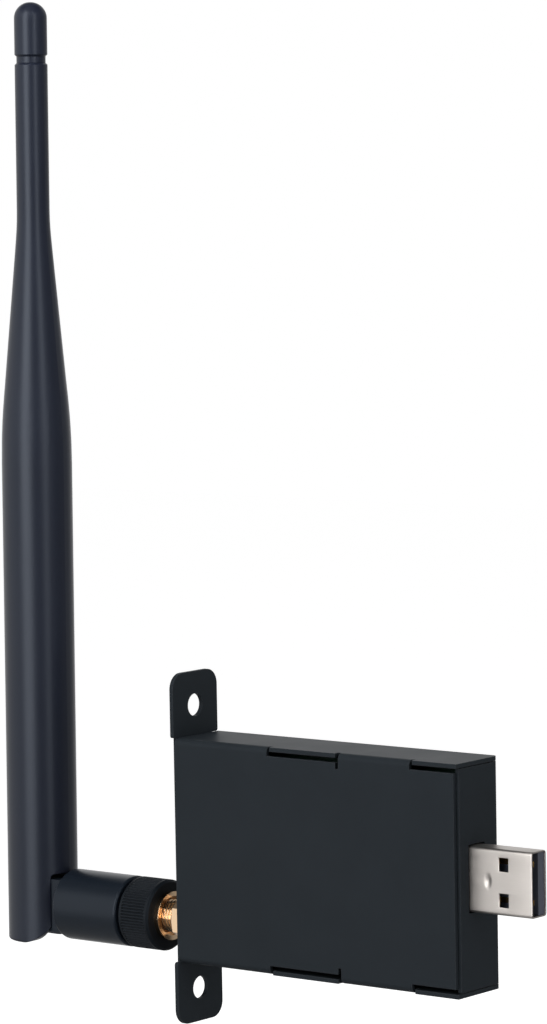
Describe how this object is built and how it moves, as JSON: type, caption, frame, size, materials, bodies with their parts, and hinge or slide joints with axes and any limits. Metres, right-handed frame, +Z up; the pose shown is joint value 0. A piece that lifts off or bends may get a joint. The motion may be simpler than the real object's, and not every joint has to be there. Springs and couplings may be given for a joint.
{
  "type": "usb wi-fi adapter",
  "caption": "Wi-fi adapter: folded steel box with screw ears, a USB plug at one end and a hinged whip antenna on a threaded coupling at the other.",
  "frame": {"origin": "midway between the two mounting holes of the ears, on the outer face of the antenna end plate", "axes": "+X along the box toward the USB plug, +Y from the front cover to the back, +Z up along the ears and the whip"},
  "size_m": [0.1246, 0.0136, 0.1933],
  "materials": {
    "black_coat": "fine matt black powder coat on steel sheet",
    "plug_steel": "bright nickel-plated steel",
    "screw_steel": "zinc-plated steel",
    "tin_plate": "tinned steel",
    "gold_plate": "gold-plated brass",
    "contact_gold": "gold-plated contact",
    "copper_wire": "bare copper wire",
    "black_moulding": "satin black moulding",
    "whip_moulding": "satin black moulding with a slight grain",
    "cable_black": "black cable jacket",
    "insulator_black": "blue-black moulded insulator",
    "insulator_white": "white fluoropolymer",
    "board_green": "green solder mask",
    "chip_black": "black epoxy",
    "capacitor_brown": "ceramic"
  },
  "bodies": {
    "housing": {"chassis": "black_coat", "front_cover": "black_coat", "back_screws": "screw_steel", "board_spacers": "screw_steel", "cover_standoffs": "screw_steel", "circuit_board": "board_green", "shield_can": "tin_plate", "radio_chip": "chip_black", "crystal": "tin_plate", "memory_chip": "chip_black", "voltage_regulator": "chip_black", "inductor": "chip_black", "capacitors": "capacitor_brown", "usb_shell": "plug_steel", "usb_insulator": "insulator_black", "usb_contact_power": "contact_gold", "usb_contact_data_minus": "contact_gold", "usb_contact_data_plus": "contact_gold", "usb_contact_ground": "contact_gold", "jack_body": "gold_plate", "jack_insulator": "insulator_white", "jack_pin": "contact_gold", "lock_washer": "gold_plate", "jack_nut": "gold_plate"},
    "antenna_plug": {"antenna_plug_body": "gold_plate", "plug_insulator": "insulator_white", "plug_contact": "contact_gold", "snap_ring": "screw_steel", "feed_cable": "cable_black"},
    "coupling_nut": {"coupling_insert": "gold_plate", "coupling_sleeve": "black_moulding"},
    "knuckle": {"knuckle": "black_moulding"},
    "whip": {"whip_sheath": "whip_moulding", "tip_cap": "whip_moulding", "whip_cable": "cable_black", "dipole_sleeve": "gold_plate", "radiator_wire": "copper_wire"}
  },
  "joints": [
    {"name": "antenna_unscrew", "type": "slide", "parent": "housing", "child": "antenna_plug", "axis": [-1, 0, 0], "range_m": [0, 0.00423]},
    {"name": "nut_spin", "type": "hinge", "parent": "antenna_plug", "child": "coupling_nut", "pos_m": [0, 0, -0.0139], "axis": [-1, 0, 0], "range_deg": [0, 2160]},
    {"name": "knuckle_swivel", "type": "hinge", "parent": "antenna_plug", "child": "knuckle", "pos_m": [0, 0, -0.0139], "axis": [-1, 0, 0], "continuous": true},
    {"name": "whip_tilt", "type": "hinge", "parent": "knuckle", "child": "whip", "pos_m": [-0.0383, 0, -0.0139], "axis": [0, -1, 0], "range_deg": [0, 90.55]}
  ],
  "couplings": [
    {"joint": "nut_spin", "follows": "antenna_unscrew", "rad_per_m": 8905.3}
  ]
}
